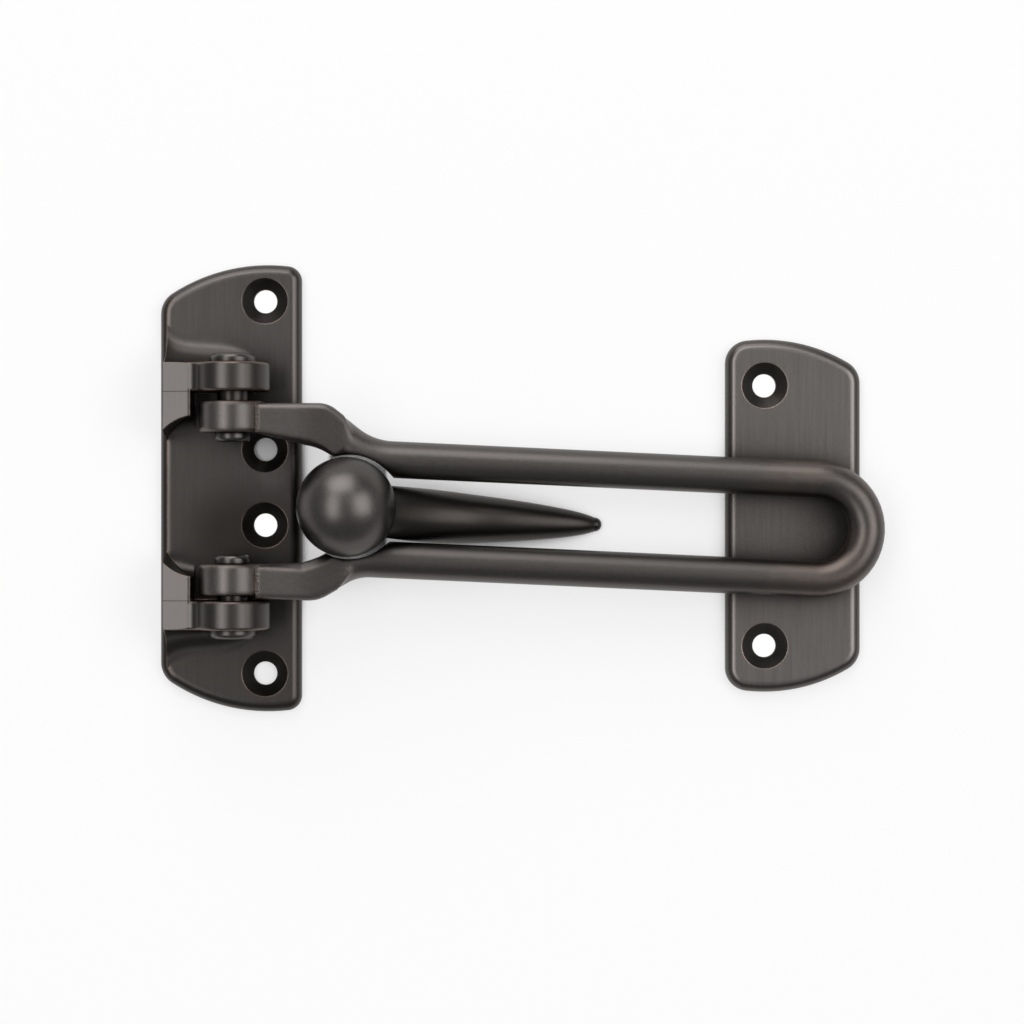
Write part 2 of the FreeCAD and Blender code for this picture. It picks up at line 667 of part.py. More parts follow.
LOOP_END_Y = "(-Sizes.loop_shift - Sizes.loop_length * tan(Sizes.loop_skew * 1 deg))"
path = new_sketch(swing_bar, "XY_Plane", "loop_path", "Sizes.bar_level")
loop_path(path)
doc.recompute()
section = swing_bar.newObject("Sketcher::SketchObject", "loop_section")
section.AttachmentSupport = [(path, "Edge1")]
section.MapMode = "NormalToEdge"
section.MapPathParameter = 0
circle(section, "bar", "0", "0", "Sizes.bar_radius")
doc.recompute()
loop = swing_bar.newObject("PartDesign::AdditivePipe", "loop")
loop.Profile = section
loop.Spine = path
doc.recompute()

for word, (sign, reach) in LUG_CENTRES.items():
    arm(word, sign)
for word, (sign, reach) in LUG_CENTRES.items():
    kink = FreeCAD.Vector(number(f"Sizes.{word}_kink_reach"), sign * number(f"Sizes.{word}_strap_outer"), 0)
    round_edges(swing_bar, f"{word}_kink_round", f"Sizes.{word}_kink_round",
                lambda edge: upright(edge) and flat_distance(edge.Vertexes[0].Point, kink) < TOUCH)


def on_outer_line(edge, sign, height, side_y):
    """Whether an edge of a strap's face lies along its outer side."""
    return level(edge, height) and all(sign * vertex.Y > side_y - TOUCH for vertex in edge.Vertexes)


for word, (sign, reach) in LUG_CENTRES.items():
    side_y = number(arm_side(word)[1])
    round_edges(swing_bar, f"{word}_strap_edge", "Sizes.strap_edge_round",
                lambda edge: on_outer_line(edge, sign, number("Sizes.strap_top"), side_y))


def knuckle(word, sign):
    """One knuckle, turned about the hinge axis, with rounded rims."""
    drawn = new_sketch(swing_bar, "XY_Plane", f"{word}_knuckle_profile")
    near = f"({sign} * Sizes.knuckle_reach - Sizes.knuckle_length / 2)"
    far = f"({sign} * Sizes.knuckle_reach + Sizes.knuckle_length / 2)"
    rim, bend = "Sizes.knuckle_radius", "Sizes.knuckle_round"
    corners = [("0", near), (f"{rim} - {bend}", near), (rim, f"{near} + {bend}"), (rim, f"{far} - {bend}"),
               (f"{rim} - {bend}", far), ("0", far)]
    spots = [FreeCAD.Vector(number(x), number(y), 0) for x, y in corners]
    radius = number(bend)
    low_centre = FreeCAD.Vector(spots[1].x, spots[2].y, 0)
    high_centre = FreeCAD.Vector(spots[4].x, spots[3].y, 0)
    drawn.addGeometry(Part.LineSegment(spots[0], spots[1]))
    drawn.addGeometry(Part.ArcOfCircle(Part.Circle(low_centre, Z, radius), -math.pi / 2, 0))
    drawn.addGeometry(Part.LineSegment(spots[2], spots[3]))
    drawn.addGeometry(Part.ArcOfCircle(Part.Circle(high_centre, Z, radius), 0, math.pi / 2))
    drawn.addGeometry(Part.LineSegment(spots[4], spots[5]))
    drawn.addGeometry(Part.LineSegment(spots[5], spots[0]))
    for first, second in ((0, 1), (1, 2), (2, 3), (3, 4), (4, 5), (5, 0)):
        drawn.addConstraint(Sketcher.Constraint("Coincident", first, END, second, START))
    for index, geometry, point in ((0, 0, START), (1, 0, END), (2, 2, START), (3, 2, END),
                                   (4, 4, START), (5, 4, END)):
        place(drawn, geometry, point, f"corner_{index}", *corners[index])
    hold(drawn, "Radius", "low_round", bend, 1)
    hold(drawn, "Radius", "high_round", bend, 3)
    turn = swing_bar.newObject("PartDesign::Revolution", f"{word}_knuckle")
    turn.Profile = drawn
    turn.ReferenceAxis = (drawn, ["V_Axis"])
    turn.Angle = 360
    doc.recompute()


for word, (sign, reach) in LUG_CENTRES.items():
    knuckle(word, sign)


# The keyhole leans back, so that the ball just clears it on the arc of the swing
KEYHOLE_Y = "Sizes.hinge_shift - Sizes.ball_shift"
KEYHOLE_RADIUS = "Sizes.ball_radius + Sizes.keyhole_clearance"
keyhole_top = new_sketch(swing_bar, "XY_Plane", "keyhole_top", "Sizes.strap_top + Sizes.keyhole_overcut")
circle(keyhole_top, "keyhole", "Sizes.ball_reach + Sizes.keyhole_top_lead", KEYHOLE_Y, KEYHOLE_RADIUS)
keyhole_low = new_sketch(swing_bar, "XY_Plane", "keyhole_low", "-Sizes.strap_bottom - Sizes.keyhole_overcut")
circle(keyhole_low, "keyhole", "Sizes.ball_reach + Sizes.keyhole_low_lead", KEYHOLE_Y, KEYHOLE_RADIUS)
doc.recompute()
keyhole = swing_bar.newObject("PartDesign::SubtractiveLoft", "keyhole")
keyhole.Profile = keyhole_top
keyhole.Sections = [keyhole_low]
doc.recompute()
pin_bore(swing_bar, "knuckle_bores", "Sizes.pin_radius + Sizes.pin_knuckle_clearance", "0", "0")
REST_DROP = ("(Sizes.hinge_height + Sizes.bar_level - Sizes.door_plate_thickness"
             " - Sizes.loop_rest_gap - Sizes.bar_radius)")
swing_bar.Placement.Rotation = FreeCAD.Rotation(FreeCAD.Vector(0, 1, 0), 1)
swing_bar.setExpression("Placement.Base.x", AXIS_X)
swing_bar.setExpression("Placement.Base.y", "-Sizes.hinge_shift")
swing_bar.setExpression("Placement.Base.z", "Sizes.hinge_height")
swing_bar.setExpression("Placement.Rotation.Angle", f"asin({REST_DROP} / (Sizes.loop_length + Sizes.loop_half_width))")
doc.recompute()

# Ball keeper: a ball on a tapering horn that curves down and lies flat on the door
ball_keeper = new_body("ball_keeper")
ball = ball_keeper.newObject("PartDesign::AdditiveSphere", "ball")
ball.AttachmentSupport = [(origin_plane(ball_keeper, "XY_Plane"), "")]
ball.MapMode = "FlatFace"
ball.setExpression("Radius", "Sizes.ball_radius")
ball.setExpression(".AttachmentOffset.Base.x", "Sizes.ball_reach - Sizes.hinge_back")
ball.setExpression(".AttachmentOffset.Base.y", "-Sizes.ball_shift")
ball.setExpression(".AttachmentOffset.Base.z", "Sizes.ball_height")
doc.recompute()


def horn_line(x):
    """How far along Y the horn's middle lies, in line with the loop's slant."""
    return f"-Sizes.horn_shift - {x} * tan(Sizes.loop_skew * 1 deg)"


def horn_section(index, x):
    """A round section of the horn: it thins towards its tip, and rises and sways towards the ball."""
    radius = f"min(Sizes.horn_girth * (Sizes.horn_tip_x - {x}) ^ Sizes.horn_power; Sizes.horn_root_radius)"
    bend = f"(max(Sizes.horn_lift_x - {x}; 0) / (Sizes.horn_lift_x - Sizes.horn_root_x)) ^ 2"
    drawn = new_sketch(ball_keeper, "YZ_Plane", f"horn_section_{index}", x)
    circle(drawn, "horn", f"{horn_line(x)} + Sizes.horn_sway * {bend}",
           f"{radius} - Sizes.horn_foot_cut + Sizes.horn_lift * {bend}", radius)
    return drawn


HORN_END = "(Sizes.horn_tip_x - Sizes.horn_tip_length)"
stations = [f"(Sizes.horn_root_x + {share} * (Sizes.horn_tip_x - Sizes.horn_root_x))" for share in HORN_SHARES]
sections = [horn_section(index, x) for index, x in enumerate([*stations, HORN_END])]
doc.recompute()
loft(ball_keeper, "horn", sections[0], *sections[1:])
doc.recompute()
end_circle = new_sketch(ball_keeper, "YZ_Plane", "horn_end_profile", HORN_END)
circle(end_circle, "end", horn_line(HORN_END), "Sizes.horn_tip_radius - Sizes.horn_foot_cut",
       "Sizes.horn_tip_radius")
pad(ball_keeper, end_circle, "horn_end", "Sizes.horn_tip_length")
tip_x = number("Sizes.horn_tip_x")
round_edges(ball_keeper, "horn_tip", "Sizes.horn_tip_round",
            lambda edge: all(abs(vertex.X - tip_x) < TOUCH for vertex in edge.Vertexes))
foot = new_sketch(ball_keeper, "XY_Plane", "foot_cut")
polygon(foot, [("Sizes.horn_root_x", "-2 * Sizes.horn_tip_x"), ("2 * Sizes.horn_tip_x", "-2 * Sizes.horn_tip_x"),
               ("2 * Sizes.horn_tip_x", "2 * Sizes.horn_tip_x"), ("Sizes.horn_root_x", "2 * Sizes.horn_tip_x")])
foot_cut = ball_keeper.newObject("PartDesign::Pocket", "foot")
foot_cut.Profile = foot
foot_cut.Type = "ThroughAll"
doc.recompute()
taps = new_sketch(ball_keeper, "XY_Plane", "tapped_holes_profile")
for index, x in enumerate(("Sizes.horn_hole_x", "(Sizes.horn_hole_x + Sizes.horn_hole_spacing)")):
    circle(taps, f"tap_{index}", x, horn_line(x), "Sizes.horn_hole_radius")
tapped = ball_keeper.newObject("PartDesign::Pocket", "tapped_holes")
tapped.Profile = taps
tapped.Reversed = True
tapped.setExpression("Length", "Sizes.horn_hole_depth")
doc.recompute()

bodies = [hinge_bracket, *pins, swing_bar, ball_keeper, door_plate]
failed = [thing.Name for thing in doc.Objects if {"Invalid", "Error"} & set(thing.State)]
failed += [body.Name for body in bodies if body.Shape.isNull() or not body.Shape.isValid()]
if failed:
    raise RuntimeError(f"These did not build: {failed}")
for body in bodies:
    box = body.Shape.optimalBoundingBox()
    print(body.Label, len(body.Shape.Solids), "solid,", round(body.Shape.Volume, 1), "mm3,",
          [round(value, 2) for value in (box.XMin, box.YMin, box.ZMin, box.XMax, box.YMax, box.ZMax)])
    body.Shape.exportStep(f"parts/{body.Label}.step")
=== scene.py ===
from collections import namedtuple
import json
import math

import bpy
from mathutils import Matrix, Vector


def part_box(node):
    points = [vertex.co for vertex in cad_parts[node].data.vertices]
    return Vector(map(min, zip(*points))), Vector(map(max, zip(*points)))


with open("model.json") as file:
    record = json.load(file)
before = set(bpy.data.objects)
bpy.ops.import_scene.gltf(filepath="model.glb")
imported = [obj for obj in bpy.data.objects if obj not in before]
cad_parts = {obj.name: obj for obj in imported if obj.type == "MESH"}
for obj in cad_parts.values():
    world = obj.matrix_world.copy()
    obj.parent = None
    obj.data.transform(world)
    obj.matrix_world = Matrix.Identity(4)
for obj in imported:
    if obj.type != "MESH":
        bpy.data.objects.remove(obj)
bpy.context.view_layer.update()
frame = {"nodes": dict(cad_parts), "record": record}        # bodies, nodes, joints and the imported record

bl_info = {
    "name": "Swing Bar Door Guard",
    "version": (1, 0, 0),
    "blender": (4, 5, 0),
    "location": "View3D > Sidebar > Door Guard",
    "description": "Finishes a cast door guard in dark rubbed bronze and sets up its studio",
    "category": "Object",
}

MM = 0.001

# Places on the castings, in millimetres
PLATE_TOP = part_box("door_plate")[1][2] / MM
ABOVE_PLATE = (PLATE_TOP + 0.02, PLATE_TOP + 0.2)
BESIDE_LOWER_KNUCKLE = (-5, -9, PLATE_TOP)
BETWEEN_KNUCKLES = (1.9, 3.3, PLATE_TOP)
INSIDE_LOOP_END = (105.5, -7, PLATE_TOP)
PAD_SEAMS = (17.4, -20.73)
STRAP_SEAM = -1.4

# How strongly the rough ridge at each strap's root shows, as copper and as height in millimetres
ROOT_COPPER = 0.2
ROOT_HEIGHT = 0.16

# The floor: its size and how far it looks round for a wall, in metres, how much pure white is mixed into its
# paint out in the open, the paint, and how open the air is where its shadow is full and where it ends
FLOOR_SIZE = 60.0
FLOOR_HOLLOW = 20 * MM
FLOOR_WHITE = 0.68
FLOOR_PAINT = (0.94, 0.94, 0.94, 1.0)
FLOOR_SHADOW = (0.12, 0.6)

# Painted shadow in the crack between ball and bar: its floor paint, how far past the ball's edge it starts
# and ends, how far it goes left and right of the ball's middle, in millimetres, and how open the air is
# upwards and outwards
CRACK_SHADOW_PAINT = (0.15, 0.15, 0.15, 1.0)
CRACK_START, CRACK_END = (-1.4, -0.8), (1.1, 1.7)
CRACK_LEFT, CRACK_RIGHT = (-4.4, -3.4), (6.3, 7.2)
OPEN_UPWARDS, OPEN_OUTWARDS = (0.6, 0.74), (0.66, 0.9)

# Painted light on the floor seen through each screw hole: how far it reaches, in millimetres, and how white
# it makes the floor in the upper and the lower hole of each row, where 1 stands for the open floor
HOLE_EDGE = (2.3, 2.9)
HOLE_PAINTED_LIGHT = {
    "bracket_outer_screws": (1.7, 0.8),
    "bracket_inner_screws": (0.0, 1.7),
    "door_plate_screws": (1.7, 1.7),
}

# The lamps: bearing and lean from overhead, width and height as seen from the guard, all in degrees
SoftBox = namedtuple("SoftBox", "name bearing lean width height brightness")
SOFTBOXES = (
    SoftBox("left_softbox", 180, 28, 22, 48, 2.7),
    SoftBox("right_softbox", 9, 40, 38, 44, 2.5),
    SoftBox("top_softbox", 102, 57, 42, 48, 2.8))

# Shader maths


class Wire:
    """A node's output that takes part in Python arithmetic by adding Math nodes."""

    def __init__(self, tree, socket):
        self.tree = tree
        self.socket = socket

    def _math(self, operation, first, second=0.0):
        node = self.tree.nodes.new("ShaderNodeMath")
        node.operation = operation
        plug(self.tree, node.inputs[0], first)
        plug(self.tree, node.inputs[1], second)
        return Wire(self.tree, node.outputs[0])

    def __add__(self, other):
        return self._math("ADD", self, other)

    def __radd__(self, other):
        return self._math("ADD", other, self)

    def __sub__(self, other):
        return self._math("SUBTRACT", self, other)

    def __rsub__(self, other):
        return self._math("SUBTRACT", other, self)

    def __mul__(self, other):
        return self._math("MULTIPLY", self, other)

    def __rmul__(self, other):
        return self._math("MULTIPLY", other, self)

    def __abs__(self):
        return self._math("ABSOLUTE", self)


def plug(tree, inlet, value):
    """Links a Wire to a socket, or sets the socket's own value."""
    if isinstance(value, Wire):
        tree.links.new(value.socket, inlet)
    else:
        inlet.default_value = value


class Surface:
    """One material's node tree, with one method that adds any node."""

    def __init__(self, name):
        self.material = bpy.data.materials.new(name)
        self.material.use_nodes = True
        self.tree = self.material.node_tree
        self.tree.nodes.clear()

    def node(self, kind, output=0, settings=None, **inlets):
        """A node with its settings made first and its sockets filled by name; returns one output."""
        added = self.tree.nodes.new(kind)
        for key, value in (settings or {}).items():
            setattr(added, key, value)
        for name, value in inlets.items():
            key = int(name[1:]) if name[0] == "_" else name.replace("_", " ")
            plug(self.tree, added.inputs[key], value)
        return Wire(self.tree, added.outputs[output])

    def step(self, value, low, high):
        """0 below one value, 1 above another and smooth between them."""
        return self.node("ShaderNodeMapRange", settings={"interpolation_type": "SMOOTHSTEP"},
                         Value=value, From_Min=low, From_Max=high)

    def below(self, value, low, high):
        """1 below one value, 0 above another and smooth between them."""
        return 1 - self.step(value, low, high)

    def blend(self, share, first, second):
        """A mix of two colours."""
        added = self.tree.nodes.new("ShaderNodeMix")
        added.data_type = "RGBA"
        plug(self.tree, added.inputs["Factor"], share)
        plug(self.tree, added.inputs[6], first)
        plug(self.tree, added.inputs[7], second)
        return Wire(self.tree, added.outputs[2])

    def vector(self, operation, output=0, **inlets):
        """One step of vector arithmetic."""
        return self.node("ShaderNodeVectorMath", output, {"operation": operation}, **inlets)

    def place(self, scale=(1 / MM, 1 / MM, 1 / MM)):
        """Object coordinates, in millimetres unless another scale is given."""
        coordinates = self.node("ShaderNodeTexCoord", "Object")
        return self.node("ShaderNodeMapping", Vector=coordinates, Scale=scale)

    def place_axes(self):
        """Where a spot lies along X, Y and Z, in millimetres."""
        place = self.place()
        return [self.node("ShaderNodeSeparateXYZ", axis, Vector=place) for axis in "XYZ"]

    def reach(self, spot):
        """How far from one spot the surface lies, in millimetres."""
        return self.vector("DISTANCE", "Value", _0=self.place(), _1=spot)

    def facing(self, axis):
        """How far the surface faces along an axis of its casting."""
        normal = self.node("ShaderNodeTexCoord", "Normal")
        return self.node("ShaderNodeSeparateXYZ", axis, Vector=normal)

    def open_air(self, distance, **inlets):
        """1 where nothing stands near, 0 deep in a hollow."""
        return self.node("ShaderNodeAmbientOcclusion", "AO", {"samples": 8}, Distance=distance, **inlets)

    def noise(self, scale, detail=3.0, roughness=0.5, stretch=(1, 1, 1)):
        """Noise with so many waves in a metre, stretched along the axes."""
        return self.node("ShaderNodeTexNoise", "Fac", Vector=self.place(stretch), Scale=scale,
                         Detail=detail, Roughness=roughness)

    def finish(self, shader):
        """Gives the material its shader."""
        outlet = self.tree.nodes.new("ShaderNodeOutputMaterial")
        plug(self.tree, outlet.inputs["Surface"], shader)


# Finishes


def bracket_painted_light(surface):
    """Painted shade low on the plate, by the lower knuckle, on the flanks and right of the barrels."""
    x, y, z = surface.place_axes()
    plate = surface.below(z, *ABOVE_PLATE)
    # Painted shade, darker towards the bottom of the plate
    fall = surface.below(y, -8, 24) * 0.5
    # Painted shadow beside the lower knuckle
    beside = surface.below(surface.reach(BESIDE_LOWER_KNUCKLE), 3, 13) * 0.5
    # Painted light: a lighter patch on the plate between the knuckles
    rubbed = surface.below(surface.reach(BETWEEN_KNUCKLES), 1, 5) * 0.6
    # Painted shade on the flanks above their foot, which stays light as a painted highlight line
    flank = surface.step(abs(surface.facing("Y")), 0.03, 0.16)
    flank = flank * surface.step(z, 3.12, 3.7) * surface.below(z, 9, 10.5) * 0.75
    # Painted shade right of the barrels, which damps their highlight
    barrels = surface.step(x, -8.5, -5) * surface.step(z, 8, 10) * 0.45
    return plate * (fall + beside - rubbed) + flank + barrels


def loop_tone_and_painted_shade(surface):
    """Darker legs; painted shade inside the lower leg, where each flat strap runs out and on the knuckles.
    """
    x, y, z = surface.place_axes()
    legs = surface.step(x, 14, 22) * 0.35
    # Painted shade on the lower leg's inner side
    inner = surface.step(surface.facing("Y"), 0.1, 0.7) * surface.below(y, -9, -7)
    inner = inner * surface.step(x, 12, 20) * 0.35
    # Painted shade where each flat strap runs out
    flat = surface.step(abs(surface.facing("Z")), 0.96, 0.99)
    tongue = flat * surface.step(x, 5, 11) * surface.below(x, 14, 17) * 0.4
    # Painted shade on the knuckles' right side, which damps their highlight
    knuckle = surface.step(x, -7, -4) * surface.below(x, -2, -1.2) * 0.3
    return legs + inner + tongue + knuckle


def keeper_painted_shade(surface):
    """Painted shade all along the horn and round the ball's underside."""
    x, _, z = surface.place_axes()
    horn = surface.step(x, 21, 25) * 0.95
    under = surface.below(z, 18, 24) * surface.below(x, 23, 25) * 0.8
    return horn + under


# Each casting's painted light and shade; the loop's entry also darkens its legs
PAINTED_LIGHT_AND_TONE = {"hinge_bracket": bracket_painted_light, "swing_bar": loop_tone_and_painted_shade, "ball_keeper": keeper_painted_shade}


def plate_shadow_in_loop(surface, node, open_air):
    """Painted shadow and reflection inside the loop's end on the door plate, while the bar lies over it."""
    if node != "door_plate":
        return 0.0
    near = surface.below(surface.reach(INSIDE_LOOP_END), 2, 12)
    return near * surface.below(open_air, 0.55, 0.8) * 0.9


def creases(surface, node):
    """Thin dark lines where each stop pad meets its lug, and where each strap's ridge meets its knuckle."""
    if node not in ("hinge_bracket", "swing_bar"):
        return 0.0
    x, y, z = surface.place_axes()
    if node == "swing_bar":
        return surface.below(abs(x - STRAP_SEAM), 0.1, 0.4) * surface.step(z, 8, 9) * 0.8
    upper, lower = (surface.below(abs(y - seam), 0.03, 0.13) for seam in PAD_SEAMS)
    return (upper + lower) * surface.below(x, -13.2, -12.9) * surface.step(z, 9, 10)


def root_ridge(surface, node):
    """The rough cast ridge where each strap leaves its knuckle."""
    if node != "swing_bar":
        return 0.0
    x, _, z = surface.place_axes()
    return surface.step(x, -1.1, -0.9) * surface.below(x, -0.7, 0.1) * surface.step(z, 9, 10)


def loop_clouds(surface, node, clouds):
    """Clouds of copper round the loop's closed end."""
    if node != "swing_bar":
        return 0.0
    x = surface.place_axes()[0]
    return surface.step(x, 84, 100) * surface.step(clouds, 0.42, 0.62) * 0.16


def copper_lines(surface, cast):
    """Copper on the rim, but for its left side, and on the rounds of the lugs and knuckles."""
    x, _, z = surface.place_axes()
    upward, along = abs(surface.facing("Z")), abs(surface.facing("Y"))
    rim = surface.step(upward, 0.84, 0.93) * surface.below(upward, 0.955, 0.99)
    rim = rim * surface.below(z, *ABOVE_PLATE) * surface.below(x, -17.5, -16)
    rounds = surface.step(along, 0.2, 0.45) * surface.below(along, 0.8, 0.95)
    rounds = rounds * surface.step(z, 9, 11) * surface.below(x, 1, 2)
    return rim * cast.rim + rounds * cast.rounds


def copper_wear(surface, cast, eased, clouds, grain):
    """How much copper shows along the edges, with gaps where clouds and grain are weak."""
    normal = surface.node("ShaderNodeNewGeometry", "Normal")
    flat = surface.vector("DOT_PRODUCT", "Value", _0=eased, _1=normal)
    ridge = surface.step(1 - flat, 0.004, 0.05) * cast.ridge
    broken = surface.step(clouds * 0.6 + grain * 0.4, 0.42, 0.58) * 0.6 + 0.4
    return (ridge + copper_lines(surface, cast)) * broken


def bare_of_patina_and_shade(surface, node, look, cast):
    """1 where the bronze has its own colour, 0 where it is as dark as in a hollow."""
    open_air = surface.open_air(look.hollow_depth)
    # Patina in the hollows
    bare = surface.step(open_air, *cast.hollows)
    # Painted light and shade of each casting, dark seam lines and the painted shadow inside the loop's end
    if node in PAINTED_LIGHT_AND_TONE:
        bare = bare * (1 - PAINTED_LIGHT_AND_TONE[node](surface))
    bare = bare * (1 - creases(surface, node)) * (1 - plate_shadow_in_loop(surface, node, open_air))
    # Painted shade on steep faces, such as the rounded brim of a plate and its countersinks
    brim = surface.below(abs(surface.facing("Z")), 0.9, 0.955) * cast.brim
    return bare * (1 - brim)


def rubbed_bronze(node, look, cast):
    """Dark rubbed bronze: brown-black in its hollows, faintly stroked, worn to copper along its edges."""
    surface = Surface(f"{node}_bronze")
    strokes = surface.noise(look.stroke_scale, roughness=0.6, stretch=cast.stroke)
    clouds = surface.noise(look.cloud_scale, roughness=0.55)
    grain = surface.noise(look.grain_scale, detail=2.0, roughness=0.6)
    eased = surface.node("ShaderNodeBevel", settings={"samples": 6}, Radius=cast.ease * MM)
    root = root_ridge(surface, node) * surface.step(grain, 0.42, 0.6)
    wear = copper_wear(surface, cast, eased, clouds, grain) * look.wear_amount
    wear = wear + root * ROOT_COPPER + loop_clouds(surface, node, clouds)
    tone = surface.step(strokes * 0.5 + clouds * 0.2 + grain * 0.3, 0.32, 0.68)
    dark, light, copper = (
        tuple(part * cast.tone for part in shade[:3]) + (1.0,)
        for shade in (look.dark_bronze, look.light_bronze, look.copper))
    # The bronze's own tone, darkened by hollow patina and by painted shade
    base = surface.blend(bare_of_patina_and_shade(surface, node, look, cast), tuple(look.hollow_and_shade_bronze),
                         surface.blend(tone, dark, light))
    colour = surface.blend(surface.node("ShaderNodeClamp", Value=wear), base, copper)
    roughness = cast.roughness + (strokes - 0.5) * 0.08 + grain * 0.04
    height = strokes * look.stroke_depth + grain * look.grain_depth * cast.grain + root * ROOT_HEIGHT
    normal = surface.node("ShaderNodeBump", "Normal", Height=height, Distance=MM, Strength=1.0,
                          Normal=eased)
    shader = surface.node("ShaderNodeBsdfPrincipled", Base_Color=colour, Metallic=look.metal,
                          Roughness=roughness, Normal=normal)
    surface.finish(shader)
    return surface.material


class GuardFinish(bpy.types.PropertyGroup):
    """Colours and wear of the guard's bronze."""
    dark_bronze: bpy.props.FloatVectorProperty(
        name="Dark bronze", description="Colour of the bronze in its darker strokes", subtype="COLOR",
        size=4, min=0.0, max=1.0, default=(0.113, 0.104, 0.1, 1.0))
    light_bronze: bpy.props.FloatVectorProperty(
        name="Light bronze", description="Colour of the bronze in its lighter strokes", subtype="COLOR",
        size=4, min=0.0, max=1.0, default=(0.127, 0.117, 0.112, 1.0))
    # Colour of the patina in the hollows, and also of all painted shade
    hollow_and_shade_bronze: bpy.props.FloatVectorProperty(
        name="Hollow bronze", description="Colour of the bronze in its hollows", subtype="COLOR",
        size=4, min=0.0, max=1.0, default=(0.045, 0.04, 0.037, 1.0))
    copper: bpy.props.FloatVectorProperty(
        name="Copper", description="Colour of the metal where the bronze has rubbed off", subtype="COLOR",
        size=4, min=0.0, max=1.0, default=(0.24, 0.165, 0.13, 1.0))
    metal: bpy.props.FloatProperty(
        name="Metal", description="How metallic the finish is", min=0.0, max=1.0, default=1.0)
    stroke_scale: bpy.props.FloatProperty(
        name="Stroke scale", description="How many strokes lie in a metre across them", default=2400.0)
    cloud_scale: bpy.props.FloatProperty(
        name="Cloud scale", description="How many clouds of tone lie in a metre", default=90.0)
    grain_scale: bpy.props.FloatProperty(
        name="Grain scale", description="How many grains lie in a metre", default=2600.0)
    stroke_depth: bpy.props.FloatProperty(
        name="Stroke depth", description="Height of the strokes, in millimetres", default=0.003)
    grain_depth: bpy.props.FloatProperty(
        name="Grain depth", description="Height of the cast grain, in millimetres", default=0.008)
    hollow_depth: bpy.props.FloatProperty(
        name="Hollow depth", description="How near a wall must stand to make a hollow", subtype="DISTANCE",
        default=14.0 * MM)
    wear_amount: bpy.props.FloatProperty(
        name="Wear amount", description="How much copper shows on worn edges", default=0.7)


class GuardStudio(bpy.types.PropertyGroup):
    """Camera and lights."""
    camera_height: bpy.props.FloatProperty(
        name="Camera height", description="Distance of the camera above the door", subtype="DISTANCE",
        default=612 * MM)
    view_width: bpy.props.FloatProperty(
        name="View width", description="Width of the door that the camera sees", subtype="DISTANCE",
        default=189.95 * MM)
    view_centre: bpy.props.FloatVectorProperty(
        name="View centre", description="Point of the door in the middle of the view", subtype="XYZ",
        size=2, default=(45.63 * MM, -4.56 * MM))
    light_level: bpy.props.FloatProperty(
        name="Light level", description="Strength of the even light from all round", default=0.22)
    lamp_distance: bpy.props.FloatProperty(
        name="Lamp distance", description="How far from the guard the lamps stand", subtype="DISTANCE",
        default=2.5)


# What sets each casting apart: the stretch of its strokes, its tone, roughness and grain, how far its edges
# are eased in millimetres, how much copper its ridges, rim and rounds show, how dark the painted shade on
# its steep faces is, and how open the air is where a hollow is darkest and where it ends
Casting = namedtuple("Casting", "stroke tone roughness grain ease ridge rim rounds brim hollows")
PLAIN = Casting(stroke=(0.5, 0.5, 0.5), tone=1.0, roughness=0.35, grain=1.0, ease=0.3,
                ridge=0.0, rim=0.0, rounds=0.0, brim=0.0, hollows=(0.3, 0.88))
PLATE = PLAIN._replace(stroke=(1.0, 0.03, 0.3), grain=0.8, ridge=0.9)
PIN = PLAIN._replace(stroke=(0.6, 0.6, 0.6), tone=0.9, roughness=0.3, grain=0.5, ridge=0.8)
CASTINGS = {
    "hinge_bracket": PLATE._replace(roughness=0.33, rim=0.8, rounds=0.8, brim=0.5, hollows=(0.3, 0.86)),
    "door_plate": PLATE._replace(tone=1.7, brim=0.6, hollows=(0.33, 0.93)),
    "swing_bar": PLAIN._replace(stroke=(0.5, 0.8, 0.8), tone=1.18, grain=3.0, ease=1.2, ridge=0.2,
                                rounds=0.5),
    "ball_keeper": PLAIN._replace(tone=1.02),
    "upper_hinge_pin": PIN,
    "lower_hinge_pin": PIN,
}


def dress(node, material):
    """Gives a CAD node one material all over."""
    mesh = frame["nodes"][node].data
    mesh.materials.clear()
    mesh.materials.append(material)


class DOORGUARD_OT_bronze(bpy.types.Operator):
    """Gives every casting and pin its rubbed bronze"""
    bl_idname = "doorguard.bronze"
    bl_label = "Bronze finish"

    def execute(self, context):
        look = context.scene.guard_finish
        for node, cast in CASTINGS.items():
            dress(node, rubbed_bronze(node, look, cast))
        return {"FINISHED"}


# Studio


def crack_shade(surface, open_air):
    """Painted shadow on the floor beside the ball, in the crack where the closed bar hangs over it."""
    low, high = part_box("ball_keeper")
    radius = (high[1] - low[1]) / 2 / MM
    middle_x, middle_y = low[0] / MM + radius, (low[1] + high[1]) / 2 / MM
    reach = surface.reach((middle_x, middle_y, 0))
    past_ball = reach - radius
    ring = surface.step(past_ball, *CRACK_START) * surface.below(past_ball, *CRACK_END)
    x = surface.place_axes()[0] - middle_x
    ring = ring * surface.step(x, *CRACK_LEFT) * surface.below(x, *CRACK_RIGHT)
    outward = surface.vector("SUBTRACT", _0=surface.place(), _1=(middle_x, middle_y, -radius))
    outward = surface.vector("NORMALIZE", _0=outward)
    open_side = surface.open_air(FLOOR_HOLLOW, Normal=outward)
    covered = surface.below(open_air, *OPEN_UPWARDS) * surface.below(open_side, *OPEN_OUTWARDS)
    return ring * covered


